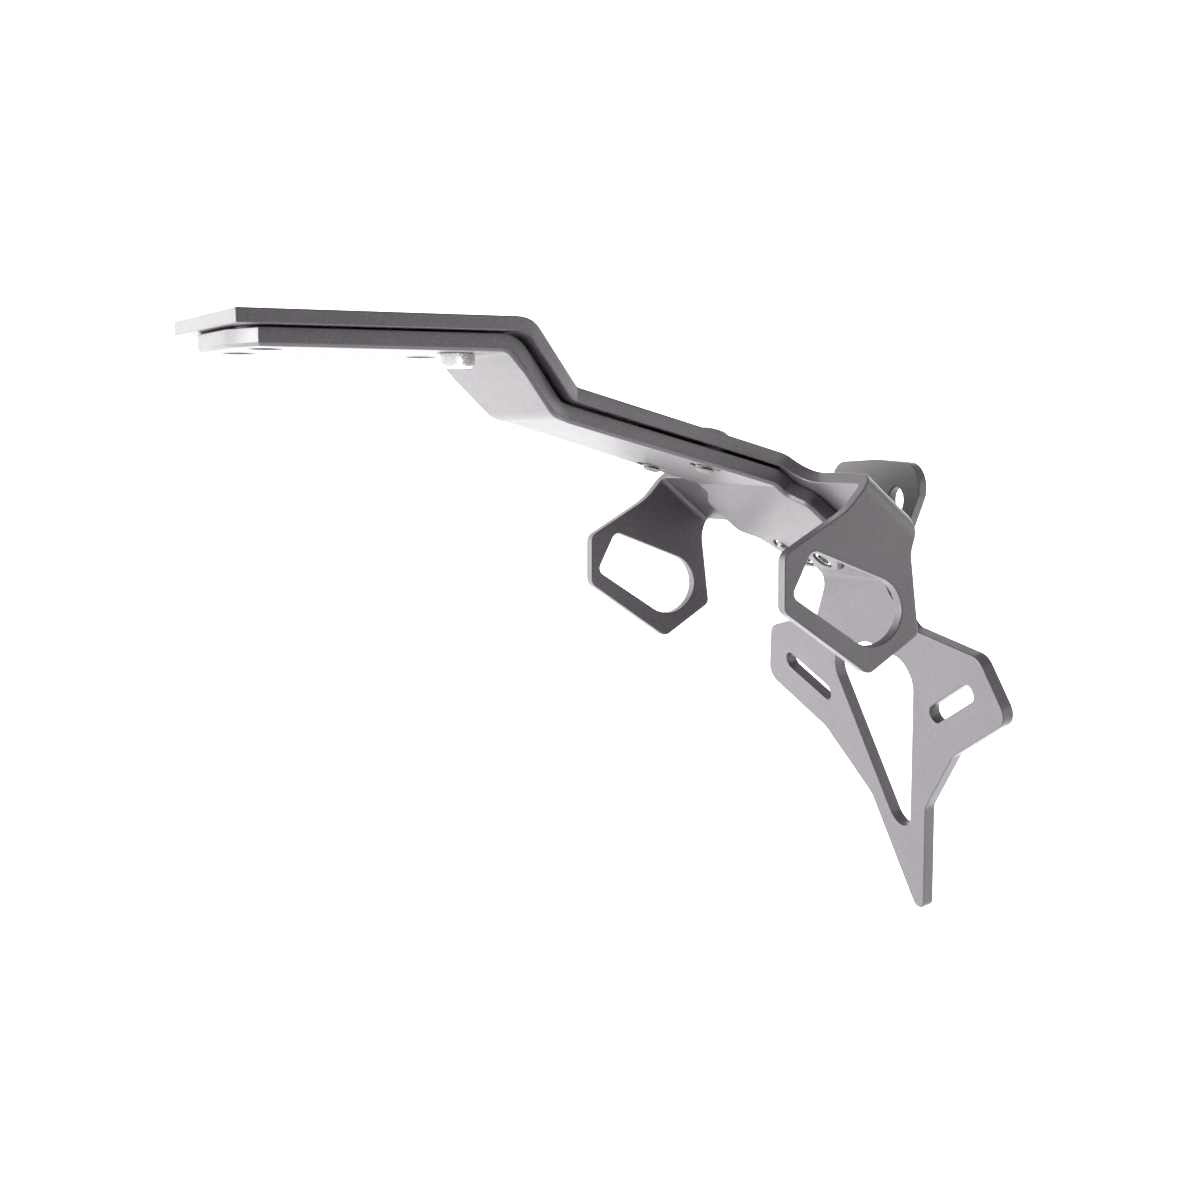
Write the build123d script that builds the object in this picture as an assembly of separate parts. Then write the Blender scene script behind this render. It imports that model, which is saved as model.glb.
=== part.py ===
from build123d import *
import math
import os

# Tail tidy: a cantilevered bracket of three folded plates and a small lamp bracket.
# +X points to the rear, +Y to the right of the motorbike and +Z up, in millimetres.
# The origin is the centre of the four mounting holes, on the top face of the upper plate.

# Four holes that bolt the plates under the seat
hole_pitch_x = 54.0
hole_pitch_y = 27.0
mount_hole = 9.0

# Folds shared by the plates: a level front, a steep crank, a long arm and a tail
front_margin = 13.5
rear_margin = 15.5
crank_slope = 48.3
crank_run = 25.15
arm_slope = 15.6
arm_run = 70.0
tail_slope = 40.0

# Upper plate, with half widths at its front edge and its three folds
upper_sheet = 4.0
front_half_width = 33.5
crank_half_width = 32.1
arm_half_width = 24.9
tail_half_width = 26.1
upper_bend_radii = (6.0, 3.0, 4.0)

# Shoulders that carry the two indicator rings
shoulder_front = 8.0
shoulder_rear = 26.9
shoulder_fillet = 10.0
ring_face = 63.9
ring_bend_outer = 6.5
ring_bend_inner = 2.0

# Indicator ring, side view
ring_left = 103.6
ring_top_left = -65.0
ring_bottom_left = -80.9
ring_tip_x = 131.3
ring_tip_z = -99.6
ring_right = 148.0
ring_bottom_right = -88.7
ring_waist_x = 145.2
ring_waist_z = -65.2
ring_waist_top = -59.3
ring_neck_x = 124.3
ring_neck_z = -52.8

# D-shaped hole in the ring, with its flat end to the front
eye_x = 132.3
eye_z = -81.7
eye_radius = 9.8
eye_flat_x = 109.35
eye_flat_z = -70.2
eye_flat_half = 7.2
eye_tilt = 26.7
eye_corner = 2.5

# Lower plate, set in from the upper one
lower_sheet = 5.0
plate_gaps = (0.6, 1.5, 0.9, 0.1)
side_overhangs = (4.5, 4.5, 4.5, 1.5)
nose_setback = 2.3
nose_half_width = 15.0
nose_shoulder = 4.9
lower_bend_radii = (4.0, 3.0, 3.0)
lower_bevel = 1.0
flare_root = 8.3
flare_half_width = 31.6
flare_start = 13.1
flare_end = 29.1
waist_half_width = 21.5
waist_along = 32.8
tongue_half_width = 16.6
tongue_along = 40.0
tongue_end_half_width = 9.8
tongue_end = 46.2

# Number plate holder
holder_sheet = 4.0
holder_slope = 76.2
holder_bend = 4.5
flange_front = 30.8
flange_end = 56.2
neck_half_width = 18.2

# Number plate holder outline, measured down its face from the fold
neck_length = 3.4
arm_root = (14.9, 27.4)
arm_top_corner = (21.0, 59.4)
arm_outer_corner = (39.7, 67.8)
arm_crotch = (54.9, 36.2)
stem_corner = (75.4, 15.2)
stem_tip = 119.0
stem_tip_radius = 3.2

# Triangular opening of the holder
window_peak = 21.2
window_corner = (27.0, 24.4)
window_point = 94.9
window_corner_radius = 8.5
window_point_radius = 5.7

# Slots for the number plate bolts
slot_along = 37.4
slot_half_pitch = 40.8
slot_width = 5.5
slot_length = 26.6
slot_tilt = 25.0

# Lamp bracket
lamp_sheet = 3.0
lamp_flange_front = 31.4
lamp_flange_half_width = 16.5
lamp_face_x = 174.5
lamp_top = -39.5
lamp_arch = 1.1
lamp_half_width = 25.6
lamp_hip_half_width = 25.0
lamp_hip_z = -50.5
lamp_foot_z = -65.0
lamp_bend = 2.5
lamp_corner = 8.0
lamp_hole = 8.0
lamp_hole_half_pitch = 12.5
lamp_hole_z = -52.1

# Screws: thread, head diameter, head height and length under the head
arm_screw = (6.0, 9.5, 1.6, 12.0)
tail_screw = (4.0, 7.6, 2.2, 13.0)
tail_rear_length = 10.5
arm_insert = 9.3
tail_insert = 6.7
screw_clearance = 0.5
insert_fit = 0.05
arm_screw_along = 49.4
arm_screw_half_pitch = 17.3
tail_screw_rows = ((35.4, 11.6), (41.1, 5.3))
spacer_outer = 16.0
arm_spacer_outer = 10.0

# Reach of the cutting prisms, larger than any plate
reach = 100.0

slopes = (0.0, crank_slope, arm_slope, tail_slope)


def along(start, slope, run):
    """Point at a run down a slope from a start point, in side view."""
    angle = math.radians(slope)
    return (start[0] + run * math.cos(angle), start[1] - run * math.sin(angle))


front_edge = (-hole_pitch_x / 2 - front_margin, 0.0)
crank_fold = (hole_pitch_x / 2 + rear_margin, 0.0)
arm_fold = along(crank_fold, crank_slope, crank_run)
tail_fold = along(arm_fold, arm_slope, arm_run)
anchors = (front_edge, crank_fold, arm_fold, tail_fold)


def point_under(section, run, drop):
    """Side-view point a run down a section and a drop under its top face."""
    x, z = along(anchors[section], slopes[section], run)
    angle = math.radians(slopes[section])
    return (x - drop * math.sin(angle), z - drop * math.cos(angle))


def meeting(start_a, slope_a, start_b, slope_b):
    """Side-view point where two sloping lines meet."""
    a = math.radians(slope_a)
    b = math.radians(slope_b)
    run = (start_b[0] - start_a[0]) * math.sin(b) + (start_b[1] - start_a[1]) * math.cos(b)
    return along(start_a, slope_a, run / math.sin(b - a))


def fold_under(section, drop_a, drop_b):
    """Corner between a section and the next one, each at its own drop."""
    start_a = point_under(section, 0, drop_a)
    start_b = point_under(section + 1, 0, drop_b)
    return meeting(start_a, slopes[section], start_b, slopes[section + 1])


def rounded_face(corners):
    """Flat face through corners (x, y, radius), each rounded by its radius."""
    stops = []
    for index, (x, y, radius) in enumerate(corners):
        corner = Vector(x, y)
        back = (Vector(*corners[index - 1][:2]) - corner).normalized()
        ahead = (Vector(*corners[(index + 1) % len(corners)][:2]) - corner).normalized()
        half = math.radians(back.get_angle(ahead)) / 2
        setback = radius / math.tan(half)
        middle = corner + (back + ahead).normalized() * (radius / math.sin(half) - radius)
        stops.append((corner + back * setback, middle, corner + ahead * setback, radius))
    edges = []
    for index, (start, middle, end, radius) in enumerate(stops):
        if radius > 0:
            edges.append(Edge.make_three_point_arc(start, middle, end))
        following = stops[(index + 1) % len(stops)][0]
        if (following - end).length > 1e-6:
            edges.append(Edge.make_line(end, following))
    return Face(Wire(edges))


def mirrored(half):
    """Closed symmetric outline from its half with positive y."""
    return half + [(x, -y, radius) for x, y, radius in reversed(half) if y > 0]


def section_plane(section, drop=0.0):
    """Plane on a section: x down its slope, y to the right, z out of its top face."""
    x, z = point_under(section, 0, drop)
    angle = math.radians(slopes[section])
    return Plane(origin=(x, 0, z), x_dir=(math.cos(angle), 0, -math.sin(angle)),
                 z_dir=(math.sin(angle), 0, math.cos(angle)))


def side_profile(top, bottom, radii):
    """Side-view face of a folded sheet between its top and bottom corner points."""
    turns = [1 if slopes[i + 1] > slopes[i] else -1 for i in range(len(radii))]
    sheet = math.dist(top[0], bottom[0])
    upper = [(*top[0], 0)]
    lower = [(*bottom[0], 0)]
    for index, radius in enumerate(radii):
        outside = radius + sheet
        upper.append((*top[index + 1], outside if turns[index] > 0 else radius))
        lower.append((*bottom[index + 1], radius if turns[index] > 0 else outside))
    upper.append((*top[-1], 0))
    lower.append((*bottom[-1], 0))
    return rounded_face(upper + lower[::-1])


def folded_body(drops, sheet, start, end, radii):
    """Folded sheet over its full reach in width, before its outline is cut."""
    faces = []
    for extra in (0.0, sheet):
        line = [point_under(0, start, drops[0] + extra)]
        for section in range(3):
            line.append(fold_under(section, drops[section] + extra, drops[section + 1] + extra))
        line.append(point_under(3, end, drops[3] + extra))
        faces.append(line)
    return extrude(Plane.XZ * side_profile(faces[0], faces[1], radii), reach, both=True)


def plan_prism(half, plane=Plane.XY):
    """Prism through the work, with a symmetric outline in the given plane."""
    return extrude(plane * rounded_face(mirrored(half)), reach, both=True)


def side_prism(face, y_from, y_to):
    """Prism along the width, from a face in side view."""
    return extrude(Plane.XZ.offset(-y_from) * face, y_to - y_from, dir=(0, 1, 0))


def round_hole(plane, x, y, diameter):
    """Cutter for a round hole through a section."""
    return plane * Pos(x, y, 0) * Cylinder(diameter / 2, 40)


def mount_holes(diameter):
    """Cutters for the four mounting holes."""
    centres = [(x * hole_pitch_x / 2, y * hole_pitch_y / 2) for x in (-1, 1) for y in (-1, 1)]
    return [round_hole(Plane.XY, x, y, diameter) for x, y in centres]


def arm_holes(diameter):
    """Cutters for the two screws in the arm."""
    plane = section_plane(2)
    return [round_hole(plane, arm_screw_along, side * arm_screw_half_pitch, diameter) for side in (-1, 1)]


def tail_holes(diameter):
    """Cutters for the four screws in the tail."""
    plane = section_plane(3)
    return [round_hole(plane, x, side * y, diameter) for x, y in tail_screw_rows for side in (-1, 1)]


def eye_outline():
    """D-shaped hole of an indicator ring: a flat end joined to a round one."""
    tilt = math.radians(eye_tilt)
    rise = Vector(math.sin(tilt), math.cos(tilt)) * eye_flat_half
    flat = Vector(eye_flat_x, eye_flat_z)
    centre = Vector(eye_x, eye_z)
    top = flat + rise
    bottom = flat - rise
    touches = []
    for corner, side in ((top, -1), (bottom, 1)):
        gap = centre - corner
        swing = math.degrees(math.acos(eye_radius / gap.length))
        touches.append(centre - gap.normalized().rotate(Axis.Z, side * swing) * eye_radius)
    wedge = Polygon(top, touches[0], centre, touches[1], bottom, align=None)
    flat_corners = wedge.vertices().sort_by(Axis.X)[:2]
    return fillet(flat_corners, eye_corner) + Pos(eye_x, eye_z) * Circle(eye_radius)


def ring_outline():
    """Side view of an indicator ring and of the neck that folds down to it."""
    front_top = point_under(3, shoulder_front, -6)
    front_low = point_under(3, shoulder_front, ring_bend_outer)
    rear = point_under(3, shoulder_rear, 0)[0]
    return [
        (*front_top, 0),
        (*front_low, 4),
        (ring_neck_x, ring_neck_z, 20),
        (ring_left, ring_top_left, 4),
        (ring_left, ring_bottom_left, 3.6),
        (ring_tip_x, ring_tip_z, 3),
        (ring_right, ring_bottom_right, 2.5),
        (ring_waist_x, ring_waist_z, 10),
        (rear, ring_waist_top, 4),
        (rear, front_top[1], 0),
    ]


def upper_plate():
    """Upper plate: front, crank and arm, with shoulders folded down to two rings."""
    drops = (0.0, 0.0, 0.0, 0.0)
    body = folded_body(drops, upper_sheet, 0, shoulder_rear + 10, upper_bend_radii)
    split = tail_fold[0] - 9
    spine = body & plan_prism([
        (front_edge[0], front_half_width, 0.8),
        (crank_fold[0], crank_half_width, 0),
        (arm_fold[0], arm_half_width, 0),
        (split - 1, tail_half_width, 0),
        (split, tail_half_width, 0),
    ])
    flat_edge = ring_face - ring_bend_outer
    rear = point_under(3, shoulder_rear, 0)[0]
    tail = section_plane(3)
    crown = body & plan_prism([
        (-20, tail_half_width, 0),
        (shoulder_front, tail_half_width, shoulder_fillet),
        (shoulder_front, flat_edge, 0),
        (shoulder_rear + 10, flat_edge, 0),
    ], tail)
    window = Pos((split + rear) / 2, 0, tail_fold[1]) * Box(rear - split, 2 * reach, 2 * reach)
    plate = spine + (crown & window)
    wall = rounded_face([
        (flat_edge, 0, 0),
        (ring_face, 0, ring_bend_outer),
        (ring_face, -reach, 0),
        (ring_face - upper_sheet, -reach, 0),
        (ring_face - upper_sheet, -upper_sheet, ring_bend_inner),
        (flat_edge, -upper_sheet, 0),
    ])
    across = Plane(origin=tail.origin, x_dir=(0, 1, 0), z_dir=tail.x_dir)
    leg = extrude(across * wall, reach, both=True)
    leg = leg & side_prism(rounded_face(ring_outline()), flat_edge, ring_face)
    leg = leg - side_prism(eye_outline(), flat_edge, ring_face + 1)
    plate = plate + leg + mirror(leg, Plane.XZ)
    return plate - mount_holes(mount_hole) - arm_holes(arm_screw[0] + screw_clearance)


def lower_drops():
    """Drop of the lower plate's top face under each section of the upper one."""
    return [upper_sheet + gap for gap in plate_gaps]


def lower_plate():
    """Lower plate: follows the upper one and ends in a flare and a short tongue."""
    drops = lower_drops()
    upper_half_widths = (front_half_width, crank_half_width, arm_half_width, tail_half_width)
    half_widths = [width - overhang for width, overhang in zip(upper_half_widths, side_overhangs)]
    body = folded_body(drops, lower_sheet, nose_setback, tongue_end, lower_bend_radii)
    nose = front_edge[0] + nose_setback
    split = tail_fold[0] - 12
    spine = body & plan_prism([
        (nose, nose_half_width, 0),
        (nose + nose_shoulder, half_widths[0], 0),
        (crank_fold[0], half_widths[1], 0),
        (arm_fold[0], half_widths[2], 0),
        (split - 1, half_widths[3], 0),
        (split, half_widths[3], 0),
    ])
    tail = body & plan_prism([
        (-20, half_widths[3], 0),
        (flare_root, half_widths[3], 3),
        (flare_start, flare_half_width, 4),
        (flare_end, flare_half_width, 4),
        (waist_along, waist_half_width, 5),
        (tongue_along, tongue_half_width, 8),
        (tongue_end, tongue_end_half_width, 0),
    ], section_plane(3))
    window = Pos(split + reach, 0, tail_fold[1]) * Box(2 * reach, 2 * reach, 4 * reach)
    plate = spine + (tail & window)
    plate = chamfer(underside_rim(plate), lower_bevel)
    cutters = mount_holes(mount_hole) + arm_holes(arm_insert + 2 * insert_fit)
    return plate - cutters - tail_holes(tail_insert + 2 * insert_fit)


def underside_rim(plate):
    """Edges between the underside of a folded plate and its sides."""
    under = [face for face in plate.faces() if face.normal_at().Z < -0.6 and face.normal_at().X < 0.01]
    edges = [edge for face in under for edge in face.outer_wire().edges()]
    middles = [edge.position_at(0.5) for edge in edges]
    return [edge for edge, middle in zip(edges, middles)
            if sum((middle - other).length < 1e-4 for other in middles) == 1]


def holder_plane():
    """Plane on the front face of the holder: x down the face, z towards the rear."""
    x, z = holder_fold()
    angle = math.radians(holder_slope)
    return Plane(origin=(x, 0, z), x_dir=(math.cos(angle), 0, -math.sin(angle)),
                 z_dir=(math.sin(angle), 0, math.cos(angle)))


def holder_fold():
    """Side-view corner on the underside between the holder's flange and its face."""
    return point_under(3, flange_end, lower_drops()[3])


def plate_holder():
    """Number plate holder: a flange on the lower plate, a neck and a slotted Y."""
    drop = lower_drops()[3]
    inner = holder_fold()
    outer_start = point_under(3, 0, drop - holder_sheet)
    angle = math.radians(holder_slope)
    face_start = (inner[0] + holder_sheet * math.sin(angle), inner[1] + holder_sheet * math.cos(angle))
    outer = meeting(outer_start, tail_slope, face_start, holder_slope)
    foot = along(inner, holder_slope, stem_tip + 5)
    foot_outer = along(face_start, holder_slope, stem_tip + 5)
    profile = rounded_face([
        (*point_under(3, flange_front, drop - holder_sheet), 0),
        (*outer, holder_bend + holder_sheet),
        (*foot_outer, 0),
        (*foot, 0),
        (*inner, holder_bend),
        (*point_under(3, flange_front, drop), 0),
    ])
    body = extrude(Plane.XZ * profile, reach, both=True)
    face = holder_plane()
    yoke = plan_prism([
        (-40, neck_half_width, 0),
        (neck_length, neck_half_width, 6),
        (*arm_root, 4),
        (*arm_top_corner, 6),
        (*arm_outer_corner, 5),
        (*arm_crotch, 8),
        (*stem_corner, 5),
        (stem_tip, 0, stem_tip_radius),
    ], face)
    window = plan_prism([
        (window_peak, 0, window_corner_radius),
        (*window_corner, window_corner_radius),
        (window_point, 0, window_point_radius),
    ], face)
    slots = []
    for side in (-1, 1):
        slot = Rot(0, 0, 90 + side * slot_tilt) * SlotOverall(slot_length, slot_width)
        slots.append(extrude(face * Pos(slot_along, side * slot_half_pitch) * slot, 20, both=True))
    flange = body & plan_prism([
        (flange_front, neck_half_width, 3),
        (flange_end + 30, neck_half_width, 0),
    ], section_plane(3))
    block = Box(2 * reach, 2 * reach, 4 * reach, align=(Align.MIN, Align.CENTER, Align.CENTER))
    far = Pos(*flange_split()) * block
    near = Pos(-2 * reach, 0, 0) * far
    plate = (flange & near) + (body & yoke & far)
    return plate - window - slots - tail_holes(tail_screw[0] + screw_clearance)


def flange_split():
    """Place where the flange outline gives way to the outline of the face."""
    x, z = point_under(3, flange_end - 6, 0)
    return (x, 0, z)


def lamp_bracket():
    """Lamp bracket: a flange on the holder and an upright with two holes."""
    drop = lower_drops()[3] - holder_sheet
    low = point_under(3, 0, drop)
    high = point_under(3, 0, drop - lamp_sheet)
    outer = meeting(low, tail_slope, (lamp_face_x + lamp_sheet, 0), 90)
    inner = meeting(high, tail_slope, (lamp_face_x, 0), 90)
    profile = rounded_face([
        (*point_under(3, lamp_flange_front, drop - lamp_sheet), 0),
        (*inner, lamp_bend),
        (lamp_face_x, lamp_top + 5, 0),
        (lamp_face_x + lamp_sheet, lamp_top + 5, 0),
        (*outer, lamp_bend + lamp_sheet),
        (*point_under(3, lamp_flange_front, drop), 0),
    ])
    body = extrude(Plane.XZ * profile, reach, both=True)
    upright = Plane(origin=(lamp_face_x, 0, 0), x_dir=(0, 0, -1), z_dir=(1, 0, 0))
    shape = plan_prism([
        (-lamp_top, 0, 40),
        (-lamp_top + lamp_arch, lamp_half_width, lamp_corner),
        (-lamp_hip_z, lamp_hip_half_width, 5),
        (-lamp_foot_z, lamp_flange_half_width, 6),
        (-inner[1] + reach, lamp_flange_half_width, 0),
    ], upright)
    flange = plan_prism([
        (lamp_flange_front, lamp_flange_half_width, 4),
        (flange_end + 30, lamp_flange_half_width, 0),
    ], section_plane(3))
    split = Box(reach, 2 * reach, 4 * reach, align=(Align.MIN, Align.CENTER, Align.CENTER))
    back = Pos(lamp_face_x - 1, 0, 0) * split
    front = Pos(lamp_face_x - 1 - reach, 0, 0) * split
    plate = (body & flange & front) + (body & shape & back)
    holes = [Pos(lamp_face_x, side * lamp_hole_half_pitch, lamp_hole_z) * Rot(0, 90, 0)
             * Cylinder(lamp_hole / 2, 20) for side in (-1, 1)]
    return plate - holes - tail_holes(tail_screw[0] + screw_clearance)


def button_screw(size):
    """Button-head screw, its head standing on z = 0 and its thread below."""
    thread, head, height, length = size
    cap = Cylinder(head / 2, height, align=(Align.CENTER, Align.CENTER, Align.MIN))
    cap = fillet(cap.edges().group_by(Axis.Z)[-1], height * 0.8)
    socket = extrude(Pos(0, 0, height * 0.4) * RegularPolygon(thread * 0.33, 6), height)
    shank = Cylinder(thread / 2, length, align=(Align.CENTER, Align.CENTER, Align.MAX))
    shank = fillet(shank.edges().group_by(Axis.Z)[0], thread * 0.38)
    return cap - socket + shank


def ring_piece(outer, bore, height):
    """Flat ring that hangs under z = 0."""
    below = (Align.CENTER, Align.CENTER, Align.MAX)
    return Cylinder(outer / 2, height, align=below) - Cylinder(bore / 2, height, align=below)


def threaded_insert(outer, thread):
    """Threaded insert pressed into the lower plate, bevelled at its lower rim."""
    insert = ring_piece(outer, thread + 0.1, lower_sheet - 0.6)
    return chamfer(insert.edges().group_by(Axis.Z)[0].sort_by(SortBy.LENGTH)[-1], 0.5)


def small_pieces():
    """Spacers, screws and inserts, each named and in its place."""
    pieces = {}
    drops = lower_drops()
    for end, x_sign in (("front", -1), ("rear", 1)):
        for side, y_sign in (("left", -1), ("right", 1)):
            place = Pos(x_sign * hole_pitch_x / 2, y_sign * hole_pitch_y / 2, -upper_sheet)
            pieces[f"mount_spacer_{end}_{side}"] = place * ring_piece(spacer_outer, mount_hole, plate_gaps[0])
    arm = section_plane(2)
    arm_seat = section_plane(2, drops[2])
    for side, y_sign in (("left", -1), ("right", 1)):
        spot = Pos(arm_screw_along, y_sign * arm_screw_half_pitch, 0)
        bore = arm_screw[0] + screw_clearance
        pieces[f"arm_spacer_{side}"] = section_plane(2, upper_sheet) * spot * ring_piece(
            arm_spacer_outer, bore, plate_gaps[2])
        pieces[f"arm_screw_{side}"] = arm * spot * button_screw(arm_screw)
        pieces[f"arm_insert_{side}"] = arm_seat * spot * threaded_insert(arm_insert, arm_screw[0])
    bracket_top = section_plane(3, drops[3] - holder_sheet - lamp_sheet)
    tail_seat = section_plane(3, drops[3])
    for end, (x, y) in zip(("front", "rear"), tail_screw_rows):
        for side, y_sign in (("left", -1), ("right", 1)):
            spot = Pos(x, y_sign * y, 0)
            size = tail_screw if end == "front" else (*tail_screw[:3], tail_rear_length)
            pieces[f"tail_screw_{end}_{side}"] = bracket_top * spot * button_screw(size)
            pieces[f"tail_insert_{end}_{side}"] = tail_seat * spot * threaded_insert(tail_insert, tail_screw[0])
    return pieces


def main():
    os.makedirs("parts", exist_ok=True)
    pieces = {
        "upper_plate": upper_plate(),
        "lower_plate": lower_plate(),
        "plate_holder": plate_holder(),
        "lamp_bracket": lamp_bracket(),
    }
    pieces.update(small_pieces())
    for name, shape in pieces.items():
        export_step(shape, f"parts/{name}.step")


main()
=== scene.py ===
import math

import bmesh
import bpy
from mathutils import Matrix, Vector


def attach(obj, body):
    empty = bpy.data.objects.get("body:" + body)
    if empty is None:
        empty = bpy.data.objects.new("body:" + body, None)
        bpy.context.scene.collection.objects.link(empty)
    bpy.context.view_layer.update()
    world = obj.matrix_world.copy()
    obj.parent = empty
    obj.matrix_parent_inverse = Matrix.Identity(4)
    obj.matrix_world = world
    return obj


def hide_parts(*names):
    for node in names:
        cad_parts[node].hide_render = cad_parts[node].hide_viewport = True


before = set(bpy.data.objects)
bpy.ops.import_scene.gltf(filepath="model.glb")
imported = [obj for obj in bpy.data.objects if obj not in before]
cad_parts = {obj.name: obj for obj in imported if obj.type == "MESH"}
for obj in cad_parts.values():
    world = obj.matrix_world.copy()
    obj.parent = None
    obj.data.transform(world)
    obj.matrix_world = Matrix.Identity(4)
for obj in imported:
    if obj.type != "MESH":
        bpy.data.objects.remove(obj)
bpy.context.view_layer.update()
scene = bpy.context.scene

MM = 0.001

# The camera looks slightly down from the left front, from below the front plate.
CAMERA_PLACE = (-171.99, -522.85, -35.34)
CAMERA_RIGHT = (0.90214, -0.43144, 0.00018)
CAMERA_FORWARD = (0.43040, 0.89992, -0.06999)
CAMERA_LENS = 58.5
CAMERA_SENSOR = 36
CAMERA_SHIFT = -0.0142
CAMERA_NEAR = 0.01

# The coating leaves a small round on the edges of each plate, in millimetres.
PLATE_EDGES = {"upper_plate": 0.45, "lower_plate": 0.3, "plate_holder": 0.4, "lamp_bracket": 0.35}
EDGE_SEGMENTS = 3

# Points this close are one, in millimetres.
SAME_POINT = 0.001
# Faces that turn by less than the first angle are joined, and edges sharper than the second are rounded.
FLAT_ANGLE = 0.4
EDGE_ANGLE = 28
# How far normals lean towards the larger faces, out of 100.
NORMAL_LEAN = 100

# Where the rings' rear cut meets their fold, slivers within a short reach are too small to round.
SLIVER = (147.2, 57.4, -59.7)
SLIVER_REACH = 1.2

# Slopes of the arm and the tail, in degrees, which the screws stand square to.
ARM_SLOPE = 15.6
TAIL_SLOPE = 40.0

# Button screws: thread, pitch, head width, head height, socket width and length, in millimetres.
ARM_SCREW = (6.0, 1.0, 9.5, 1.6, 4.0, 11.3)
TAIL_SCREW = (4.0, 0.7, 7.6, 2.2, 2.5, 12.8)
TAIL_REAR_SCREW = (4.0, 0.7, 7.6, 2.2, 2.5, 10.3)

# Shape of a button head in millimetres: plain neck, rim, and the flat ring around its socket.
NECK_START = -0.4
NECK_END = -0.2
NECK_CUT = 0.1
RIM_CUT = 0.15
RIM_HEIGHT = 0.12
SOCKET_RING = 0.5
SOCKET_LIP = 0.1
DOME_STEPS = 8
# The socket's floor and its drilled middle, as shares of the head's height.
SOCKET_FLOOR = 0.3
SOCKET_MIDDLE = 0.25

# Depth of a thread and of the bevel at its end, as shares of its pitch, and the rows for each turn.
THREAD_DEPTH = 0.6
THREAD_END = 0.8
THREAD_ROWS = 6

# Points around a screw and a bolt. Corners sharper than this many degrees are shaded sharp.
SCREW_AROUND = 36
BOLT_AROUND = 48
SHARP_ANGLE = 32

# Bright hexagon bolt in the near rear mounting hole, in millimetres and degrees.
BOLT_PLACE = (27.0, -13.5, -9.6)
BOLT_THREAD = 6.0
BOLT_PITCH = 1.0
BOLT_FLATS = 9.8
BOLT_HEAD = 4.0
BOLT_LENGTH = 9.0
BOLT_TURN = 19.5
# Its bevelled rim and the shallow dish in its head, in millimetres.
BOLT_RIM_CUT = 0.15
BOLT_BEVEL = 0.9
BOLT_BEVEL_STEPS = 8
BOLT_UNDERCUT = 0.2
BOLT_NECK = 0.4
DISH_EDGE = 1.0
DISH_SLOPE_END = 1.4
DISH_DEPTH = 0.3
DISH_MIDDLE_DEPTH = 0.35

# Noise between these values is spread over the whole of a pattern's range.
NOISE_LOW = 0.3
NOISE_HIGH = 0.7
NOISE_ROUGHNESS = 0.6

COAT_DARK = "#342F35"
COAT_LIGHT = "#3B363C"
COAT_FLAKE = "#6E6B70"
COAT_ROUGHNESS = 0.38
COAT_ROUGHNESS_SPREAD = 0.02
COAT_METALLIC = 0.1
COAT_IOR = 1.5
# Flakes show where their pattern is above a level, up to a share of their own colour.
FLAKE_LEVEL = 0.6
FLAKE_SHARE = 0.3
# Cells of the coating's patterns and depths of its relief, in millimetres.
COAT_CLOUD = 38
COAT_FLAKE_SIZE = 0.3
COAT_GLOSS_CELL = 3.5
PEEL_CELL = 1.1
PEEL_DEPTH = 0.015
PEEL_STRENGTH = 0.3
GRAIN_CELL = 0.25
GRAIN_DEPTH = 0.008
GRAIN_STRENGTH = 0.5

# Cells of the plated metals' patterns and depth of their tool marks, in millimetres.
METAL_SHADE_CELL = 2.2
METAL_GLOSS_CELL = 0.8
METAL_ROUGHNESS_SPREAD = 0.06
TOOL_MARK_CELL = 0.15
TOOL_MARK_DEPTH = 0.01
TOOL_MARK_STRENGTH = 0.3

PAPER_CLOUD = 60
PAPER_DARK = "#F4F4F4"
PAPER_LIGHT = "#F8F8F8"
PAPER_ROUGHNESS = 0.9
WHITE = (1.0, 1.0, 1.0, 1.0)

# Studio: heights, ends and radius of the white sweep in metres, and its glow.
FLOOR_DROP = -0.45
FLOOR_FRONT = -3.0
SWEEP_FRONT = -0.2
SWEEP_BACK = 1.2
SWEEP_ROUND = 1.6
SWEEP_TOP = 1.6
SWEEP_HALF_WIDTH = 3.0
SWEEP_STEPS = 24
SWEEP_GLOW = 1.6
WORLD_STRENGTH = 0.9
# Soft boxes: name, place in metres, width, height and watts. All face one point, in millimetres.
LIGHTS = (
    ("back_left_box", (-1.1, 1.35, 0.45), 1.6, 1.4, 16),
    ("camera_side_box", (1.15, -1.55, 0.1), 1.0, 1.4, 11),
    ("right_box", (1.9, -0.6, -0.1), 1.0, 1.4, 20),
    ("low_left_box", (-1.2, 0.5, -0.38), 1.2, 1.2, 85),
)
LIGHT_TARGET = (60, 0, -70)


def add_camera():
    """Camera at the photograph's place and angle."""
    data = bpy.data.cameras.new("photo_camera")
    data.lens = CAMERA_LENS
    data.sensor_width = CAMERA_SENSOR
    data.shift_y = CAMERA_SHIFT
    data.clip_start = CAMERA_NEAR
    camera = bpy.data.objects.new("photo_camera", data)
    scene.collection.objects.link(camera)
    right = Vector(CAMERA_RIGHT).normalized()
    back = -Vector(CAMERA_FORWARD).normalized()
    up = back.cross(right).normalized()
    turn = Matrix((right, up, back)).transposed().to_4x4()
    camera.matrix_world = Matrix.Translation(Vector(CAMERA_PLACE) * MM) @ turn
    scene.camera = camera


def linear(code):
    """Linear colour of an sRGB hex code."""
    parts = [int(code[i:i + 2], 16) / 255 for i in (1, 3, 5)]
    steps = [c / 12.92 if c <= 0.04045 else ((c + 0.055) / 1.055) ** 2.4 for c in parts]
    return (*steps, 1.0)


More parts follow.
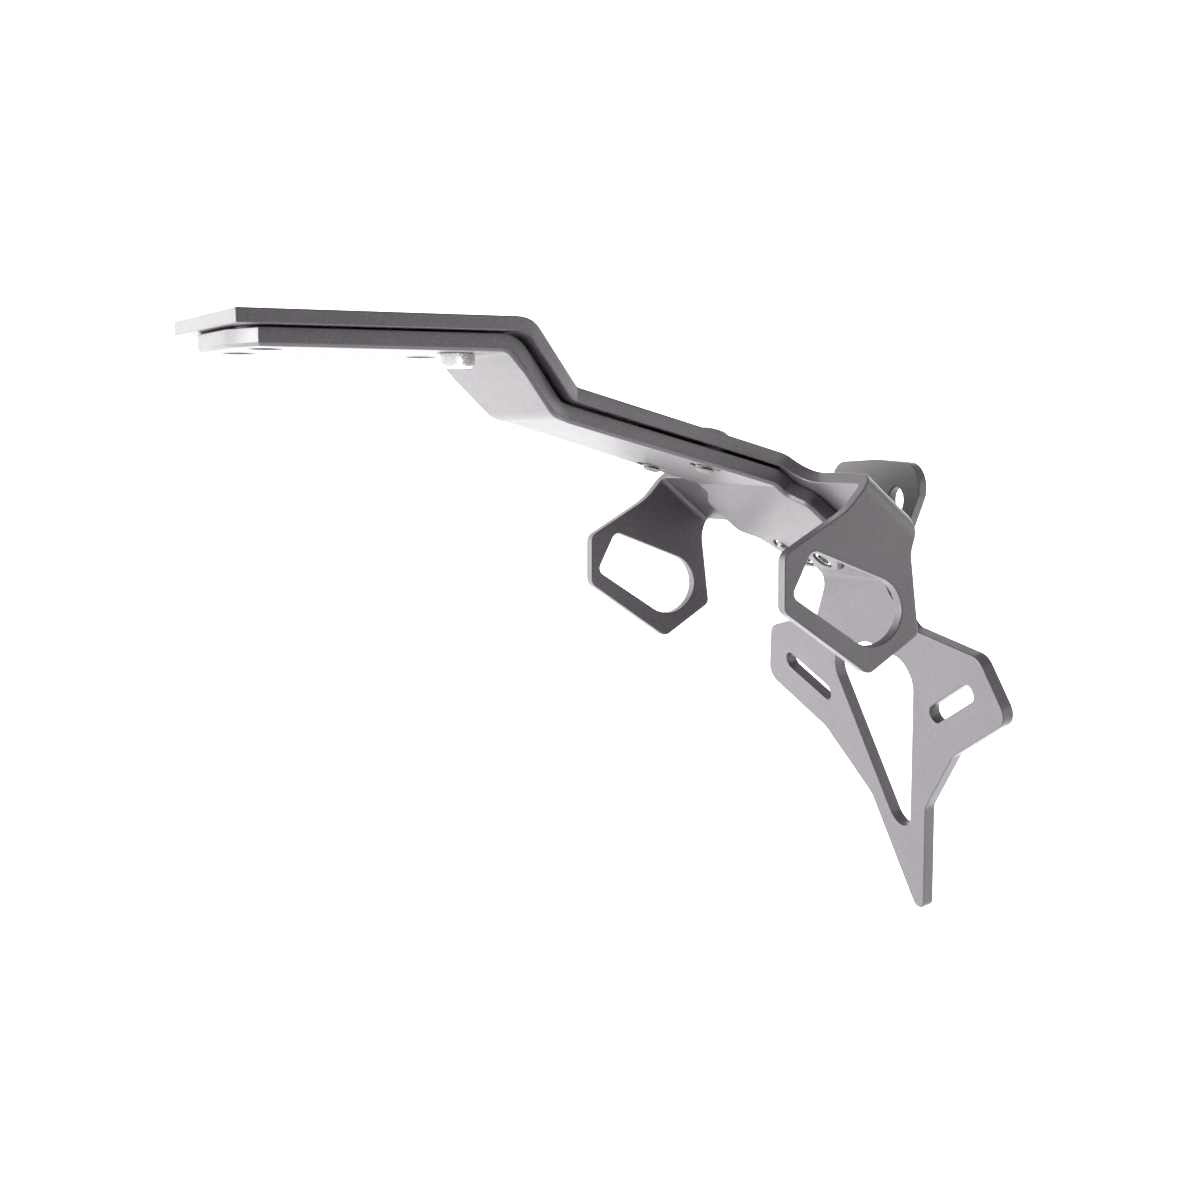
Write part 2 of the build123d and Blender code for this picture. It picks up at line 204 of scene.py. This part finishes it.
def node(tree, kind, settings=None, links=None):
    """New node with its settings, its input values and its links."""
    made = tree.nodes.new(kind)
    for name, value in (settings or {}).items():
        setattr(made, name, value)
    for name, value in (links or {}).items():
        socket = made.inputs[name]
        if isinstance(value, bpy.types.NodeSocket):
            tree.links.new(value, socket)
        else:
            socket.default_value = value
    return made


def uneven(tree, cell_mm, detail, centre=0.5, spread=0.5):
    """Unevenness of a finish: a value that wanders about a centre, in cells of a size in millimetres."""
    place = node(tree, "ShaderNodeTexCoord")
    noise = node(tree, "ShaderNodeTexNoise", {}, {
        "Vector": place.outputs["Object"], "Scale": 1 / (cell_mm * MM), "Detail": detail,
        "Roughness": NOISE_ROUGHNESS})
    return node(tree, "ShaderNodeMapRange", {}, {
        "Value": noise.outputs["Fac"], "From Min": NOISE_LOW, "From Max": NOISE_HIGH,
        "To Min": centre - spread, "To Max": centre + spread}).outputs["Result"]


def new_material(name):
    """Node material, and its tree and shader."""
    material = bpy.data.materials.new(name)
    material.use_nodes = True
    tree = material.node_tree
    return material, tree, tree.nodes["Principled BSDF"]


def powder_coat():
    """Satin polyester powder coat on folded plate: graphite, with a faint sparkle and orange peel."""
    material, tree, shader = new_material("satin_graphite_powder_coat")
    # The film varies a little in shade over some centimetres, as sprayed powder does.
    shade = node(tree, "ShaderNodeMix", {"data_type": "RGBA"}, {
        "Factor": uneven(tree, COAT_CLOUD, 2), "A": linear(COAT_DARK), "B": linear(COAT_LIGHT)})
    # Aluminium flake drawn 0.3 mm across, coarser than the real flake so that it shows.
    flake = node(tree, "ShaderNodeMapRange", {}, {
        "Value": uneven(tree, COAT_FLAKE_SIZE, 1), "From Min": FLAKE_LEVEL, "From Max": 1.0,
        "To Min": 0.0, "To Max": FLAKE_SHARE})
    colour = node(tree, "ShaderNodeMix", {"data_type": "RGBA"}, {
        "Factor": flake.outputs["Result"], "A": shade.outputs["Result"], "B": linear(COAT_FLAKE)})
    tree.links.new(colour.outputs["Result"], shader.inputs["Base Color"])
    # Roughness wanders with the film, so soft reflections break up.
    gloss = uneven(tree, COAT_GLOSS_CELL, 3, COAT_ROUGHNESS, COAT_ROUGHNESS_SPREAD)
    tree.links.new(gloss, shader.inputs["Roughness"])
    shader.inputs["Metallic"].default_value = COAT_METALLIC
    shader.inputs["IOR"].default_value = COAT_IOR
    # Orange peel with cells 1.1 mm wide, and a grain of 0.25 mm on top of it.
    peel = node(tree, "ShaderNodeBump", {}, {
        "Strength": PEEL_STRENGTH, "Distance": PEEL_DEPTH * MM, "Height": uneven(tree, PEEL_CELL, 2)})
    grain = node(tree, "ShaderNodeBump", {}, {
        "Strength": GRAIN_STRENGTH, "Distance": GRAIN_DEPTH * MM, "Height": uneven(tree, GRAIN_CELL, 1),
        "Normal": peel.outputs["Normal"]})
    tree.links.new(grain.outputs["Normal"], shader.inputs["Normal"])
    return material


def plated_metal(name, dark, light, roughness, metallic=1.0):
    """Turned and plated metal: fine tool marks, with small shifts in shade and gloss."""
    material, tree, shader = new_material(name)
    shade = node(tree, "ShaderNodeMix", {"data_type": "RGBA"}, {
        "Factor": uneven(tree, METAL_SHADE_CELL, 3), "A": linear(dark), "B": linear(light)})
    tree.links.new(shade.outputs["Result"], shader.inputs["Base Color"])
    gloss = uneven(tree, METAL_GLOSS_CELL, 2, roughness, METAL_ROUGHNESS_SPREAD)
    tree.links.new(gloss, shader.inputs["Roughness"])
    shader.inputs["Metallic"].default_value = metallic
    # Tool marks 0.15 mm apart, which give the metal its soft glint.
    marks = node(tree, "ShaderNodeBump", {}, {
        "Strength": TOOL_MARK_STRENGTH, "Distance": TOOL_MARK_DEPTH * MM,
        "Height": uneven(tree, TOOL_MARK_CELL, 1)})
    tree.links.new(marks.outputs["Normal"], shader.inputs["Normal"])
    return material


def finished(name, mesh, material, stands_for=()):
    """Finished piece at the origin, riding with the part."""
    mesh.materials.clear()
    mesh.materials.append(material)
    piece = bpy.data.objects.new(name, mesh)
    scene.collection.objects.link(piece)
    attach(piece, "root")
    if stands_for:
        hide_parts(*stands_for)


def plain_mesh(name, maker):
    """Plain mesh of an object after its modifiers. The object then goes."""
    graph = bpy.context.evaluated_depsgraph_get()
    mesh = bpy.data.meshes.new_from_object(maker.evaluated_get(graph))
    mesh.name = name
    bpy.data.objects.remove(maker)
    return mesh


def rounded_plate(cad_name, edge_mm):
    """Copy of a cut plate with the small round that coating leaves on its edges."""
    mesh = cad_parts[cad_name].data.copy()
    work = bmesh.new()
    work.from_mesh(mesh)
    bmesh.ops.remove_doubles(work, verts=work.verts, dist=SAME_POINT * MM)
    bmesh.ops.dissolve_limit(work, angle_limit=math.radians(FLAT_ANGLE), verts=work.verts, edges=work.edges)
    weights = work.edges.layers.float.new("bevel_weight_edge")
    for edge in work.edges:
        middle = (edge.verts[0].co + edge.verts[1].co) / 2 / MM
        at_sliver = (Vector((middle.x, abs(middle.y), middle.z)) - Vector(SLIVER)).length < SLIVER_REACH
        is_flat = edge.calc_face_angle(0) < math.radians(EDGE_ANGLE)
        edge[weights] = 0.0 if at_sliver or is_flat else 1.0
    work.to_mesh(mesh)
    work.free()
    maker = bpy.data.objects.new("maker", mesh)
    scene.collection.objects.link(maker)
    bevel = maker.modifiers.new("edge", "BEVEL")
    bevel.width = edge_mm * MM
    bevel.segments = EDGE_SEGMENTS
    bevel.limit_method = "WEIGHT"
    bevel.use_clamp_overlap = False
    # Normals lean towards the larger faces, so the flats stay flat up to their folds and rounds.
    leaning = maker.modifiers.new("normals", "WEIGHTED_NORMAL")
    leaning.weight = NORMAL_LEAN
    mesh.shade_smooth()
    return plain_mesh(cad_name + "_coated", maker)


def turned(rows, around):
    """Closed surface about Z from (radius, height) rows, whose radius may be a function of the angle."""
    work = bmesh.new()
    rings = []
    for radius, height in rows:
        if radius == 0:
            rings.append([work.verts.new((0, 0, height * MM))])
            continue
        ring = []
        for step in range(around):
            angle = 2 * math.pi * step / around
            reach = (radius(angle) if callable(radius) else radius) * MM
            ring.append(work.verts.new((reach * math.cos(angle), reach * math.sin(angle), height * MM)))
        rings.append(ring)
    for low, high in zip(rings, rings[1:]):
        for step in range(around):
            after = (step + 1) % around
            corners = [low[step % len(low)], low[after % len(low)],
                       high[after % len(high)], high[step % len(high)]]
            work.faces.new(list(dict.fromkeys(corners)))
    bmesh.ops.recalc_face_normals(work, faces=work.faces)
    mesh = bpy.data.meshes.new("turned")
    work.to_mesh(mesh)
    work.free()
    mesh.shade_smooth()
    mesh.set_sharp_from_angle(angle=math.radians(SHARP_ANGLE))
    return mesh


def hexagon(flats, reach=math.inf):
    """Radius of a hexagon from its width across flats, its corners cut off at a reach."""
    def radius(angle):
        return min(flats / 2 / math.cos(angle % (math.pi / 3) - math.pi / 6), reach)
    return radius


def thread_rows(thread, pitch, low, high, tip):
    """Rows of a thread from one height to another, with a bevel at its free end."""
    def radius_at(height):
        def radius(angle):
            phase = (height / pitch - angle / (2 * math.pi)) % 1
            crest = thread / 2 - THREAD_DEPTH * pitch * abs(2 * phase - 1)
            return min(crest, thread / 2 - THREAD_END * pitch + abs(height - tip))
        return radius
    count = math.ceil((high - low) / pitch * THREAD_ROWS)
    heights = [low + (high - low) * step / count for step in range(count + 1)]
    return [(radius_at(height), height) for height in heights]


def button_screw(size):
    """Button screw with a hexagon socket, its head standing on zero and its thread below."""
    thread, pitch, head, height, socket, length = size
    rows = [(0, -length)] + thread_rows(thread, pitch, -length, NECK_START, -length)
    rows += [(thread / 2 - NECK_CUT, NECK_END), (thread / 2, 0)]
    rows += [(head / 2 - RIM_CUT, 0), (head / 2, RIM_HEIGHT)]
    crown = socket / 2 + SOCKET_RING
    for step in range(1, DOME_STEPS + 1):
        angle = math.pi / 2 * step / DOME_STEPS
        rows.append((crown + (head / 2 - crown) * math.cos(angle),
                     RIM_HEIGHT + (height - RIM_HEIGHT) * math.sin(angle)))
    rows += [(hexagon(socket), height - SOCKET_LIP), (hexagon(socket), height * SOCKET_FLOOR)]
    rows.append((0, height * SOCKET_MIDDLE))
    return turned(rows, SCREW_AROUND)


def hexagon_bolt():
    """Hexagon bolt, its head hanging under zero with a bevelled rim and its thread above."""
    corner = BOLT_FLATS / math.sqrt(3)
    rim = BOLT_FLATS / 2 - BOLT_RIM_CUT
    rows = [(0, DISH_MIDDLE_DEPTH - BOLT_HEAD), (rim - DISH_SLOPE_END, DISH_DEPTH - BOLT_HEAD),
            (rim - DISH_EDGE, -BOLT_HEAD), (rim, -BOLT_HEAD)]
    for step in range(1, BOLT_BEVEL_STEPS + 1):
        reach = rim + (corner - rim) * step / BOLT_BEVEL_STEPS
        rows.append((hexagon(BOLT_FLATS, reach), -BOLT_HEAD + BOLT_BEVEL * step / BOLT_BEVEL_STEPS))
    rows += [(hexagon(BOLT_FLATS), -BOLT_UNDERCUT), (rim, 0), (BOLT_THREAD / 2, 0)]
    rows += thread_rows(BOLT_THREAD, BOLT_PITCH, BOLT_NECK, BOLT_LENGTH, BOLT_LENGTH)
    rows.append((0, BOLT_LENGTH))
    return turned(rows, BOLT_AROUND)


def screw_seat(cad_name, slope, head_height):
    """Place under a screw's head, from the solid that the screw stands for."""
    turn = math.radians(slope)
    up = Vector((math.sin(turn), 0, math.cos(turn)))
    along = Vector((math.cos(turn), 0, -math.sin(turn)))
    points = [point.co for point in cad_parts[cad_name].data.vertices]
    heights = [up.dot(point) for point in points]
    runs = [along.dot(point) for point in points]
    sides = [point.y for point in points]
    across = Vector((0, (min(sides) + max(sides)) / 2, 0))
    return along * (min(runs) + max(runs)) / 2 + across + up * (max(heights) - head_height * MM)


def screw_row_tree():
    """Tree that stands a screw at each point of a mesh, square to a sloping plate."""
    tree = bpy.data.node_groups.new("screw_row", "GeometryNodeTree")
    inputs = {"Places": "Geometry", "Screw": "Object", "Slope": "Float", "Finish": "Material"}
    for name, kind in inputs.items():
        tree.interface.new_socket(name, in_out="INPUT", socket_type="NodeSocket" + kind)
    tree.interface.new_socket("Screws", in_out="OUTPUT", socket_type="NodeSocketGeometry")
    given = node(tree, "NodeGroupInput").outputs
    spots = node(tree, "GeometryNodeMeshToPoints", {}, {"Mesh": given["Places"]})
    screw = node(tree, "GeometryNodeObjectInfo", {}, {"Object": given["Screw"], "As Instance": True})
    lean = node(tree, "ShaderNodeCombineXYZ", {}, {"Y": given["Slope"]})
    stood = node(tree, "GeometryNodeInstanceOnPoints", {}, {
        "Points": spots.outputs["Points"], "Instance": screw.outputs["Geometry"],
        "Rotation": lean.outputs["Vector"]})
    real = node(tree, "GeometryNodeRealizeInstances", {}, {"Geometry": stood.outputs["Instances"]})
    plated = node(tree, "GeometryNodeSetMaterial", {}, {
        "Geometry": real.outputs["Geometry"], "Material": given["Finish"]})
    node(tree, "NodeGroupOutput", {}, {"Screws": plated.outputs["Geometry"]})
    return tree


def screw_row(name, cad_names, size, slope, tree):
    """Row of equal screws in the places of their solids."""
    head_height = size[3]
    places = bpy.data.meshes.new("places")
    places.from_pydata([screw_seat(cad_name, slope, head_height) for cad_name in cad_names], [], [])
    maker = bpy.data.objects.new("maker", places)
    scene.collection.objects.link(maker)
    pattern = bpy.data.objects.new("pattern", button_screw(size))
    scene.collection.objects.link(pattern)
    values = {"Screw": pattern, "Slope": math.radians(slope), "Finish": screw_steel}
    modifier = maker.modifiers.new("row", "NODES")
    modifier.node_group = tree
    for item in tree.interface.items_tree:
        if item.in_out == "INPUT" and item.name in values:
            modifier[item.identifier] = values[item.name]
    finished(name, plain_mesh(name, maker), screw_steel, cad_names)
    bpy.data.objects.remove(pattern)


def staged_sheet(name, outline, glow):
    """White paper swept square to the camera's view along an outline, in metres."""
    forward = Vector((CAMERA_FORWARD[0], CAMERA_FORWARD[1], 0)).normalized()
    side = Vector((forward.y, -forward.x, 0))
    verts = [forward * run + side * offset + Vector((0, 0, height)) for run, height in outline
             for offset in (-SWEEP_HALF_WIDTH, SWEEP_HALF_WIDTH)]
    faces = [(2 * i, 2 * i + 1, 2 * i + 3, 2 * i + 2) for i in range(len(outline) - 1)]
    mesh = bpy.data.meshes.new(name)
    mesh.from_pydata(verts, [], faces)
    mesh.shade_smooth()
    material, tree, shader = new_material(name + "_paper")
    shader.inputs["Roughness"].default_value = PAPER_ROUGHNESS
    shader.inputs["Emission Strength"].default_value = glow
    shader.inputs["Emission Color"].default_value = WHITE
    # Paper fibres clump in clouds some centimetres wide.
    clouds = node(tree, "ShaderNodeMix", {"data_type": "RGBA"}, {
        "Factor": uneven(tree, PAPER_CLOUD, 2), "A": linear(PAPER_DARK), "B": linear(PAPER_LIGHT)})
    tree.links.new(clouds.outputs["Result"], shader.inputs["Base Color"])
    mesh.materials.append(material)
    sheet = bpy.data.objects.new(name, mesh)
    scene.collection.objects.link(sheet)


def add_floor_and_light():
    """Pale floor, and a glowing white sweep that fills the view behind the part, with soft boxes."""
    sweep = [(SWEEP_FRONT, FLOOR_DROP), (SWEEP_BACK, FLOOR_DROP)]
    for step in range(1, SWEEP_STEPS + 1):
        angle = math.pi / 2 * step / SWEEP_STEPS
        sweep.append((SWEEP_BACK + SWEEP_ROUND * math.sin(angle),
                      FLOOR_DROP + SWEEP_ROUND * (1 - math.cos(angle))))
    sweep.append((SWEEP_BACK + SWEEP_ROUND, SWEEP_TOP))
    staged_sheet("glowing_sweep", sweep, SWEEP_GLOW)
    staged_sheet("pale_floor", [(FLOOR_FRONT, FLOOR_DROP), (SWEEP_FRONT, FLOOR_DROP)], 0.0)
    target = Vector(LIGHT_TARGET) * MM
    for name, place, width, height, power in LIGHTS:
        light = bpy.data.lights.new(name, "AREA")
        light.shape = "RECTANGLE"
        light.size = width
        light.size_y = height
        light.energy = power
        lamp = bpy.data.objects.new(name, light)
        scene.collection.objects.link(lamp)
        lamp.location = place
        lamp.rotation_euler = (target - Vector(place)).to_track_quat("-Z", "Y").to_euler()
    world = bpy.data.worlds.new("pale_room")
    scene.world = world
    world.use_nodes = True
    background = world.node_tree.nodes["Background"]
    background.inputs["Color"].default_value = WHITE
    background.inputs["Strength"].default_value = WORLD_STRENGTH
    scene.view_settings.view_transform = "Standard"


add_camera()

coat = powder_coat()
# Zinc nickel leaves the screws a dull dark grey with soft glints.
screw_steel = plated_metal("zinc_nickel_plated_steel", "#5C5A59", "#706E6C", roughness=0.42)
# Clear zinc leaves the inserts pale grey and clearly metallic.
zinc_steel = plated_metal("clear_zinc_plated_steel", "#A9A9AB", "#C6C6C8", roughness=0.28)
# Bright nickel makes the bolt nearly white.
bright_steel = plated_metal("bright_nickel_plated_steel", "#ECECEC", "#F8F8F8", roughness=0.24)
# Black anodising leaves the spacers near black with a faint sheen.
dark_aluminium = plated_metal("black_anodised_aluminium", "#2B2B2D", "#38383A", roughness=0.45, metallic=0.6)

for plate_name, edge in PLATE_EDGES.items():
    finished(plate_name + "_coated", rounded_plate(plate_name, edge), coat, [plate_name])

for node_name, cad_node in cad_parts.items():
    if "insert" in node_name or "spacer" in node_name:
        cad_node.data.materials.clear()
        cad_node.data.materials.append(zinc_steel if "insert" in node_name else dark_aluminium)

row_tree = screw_row_tree()
screw_row("arm_screws", ["arm_screw_left", "arm_screw_right"], ARM_SCREW, ARM_SLOPE, row_tree)
screw_row("tail_front_screws", ["tail_screw_front_left", "tail_screw_front_right"],
          TAIL_SCREW, TAIL_SLOPE, row_tree)
screw_row("tail_rear_screws", ["tail_screw_rear_left", "tail_screw_rear_right"],
          TAIL_REAR_SCREW, TAIL_SLOPE, row_tree)

bolt = hexagon_bolt()
bolt_turn = Matrix.Rotation(math.radians(BOLT_TURN), 4, "Z")
bolt.transform(Matrix.Translation(Vector(BOLT_PLACE) * MM) @ bolt_turn)
finished("seat_bolt", bolt, bright_steel)

add_floor_and_light()
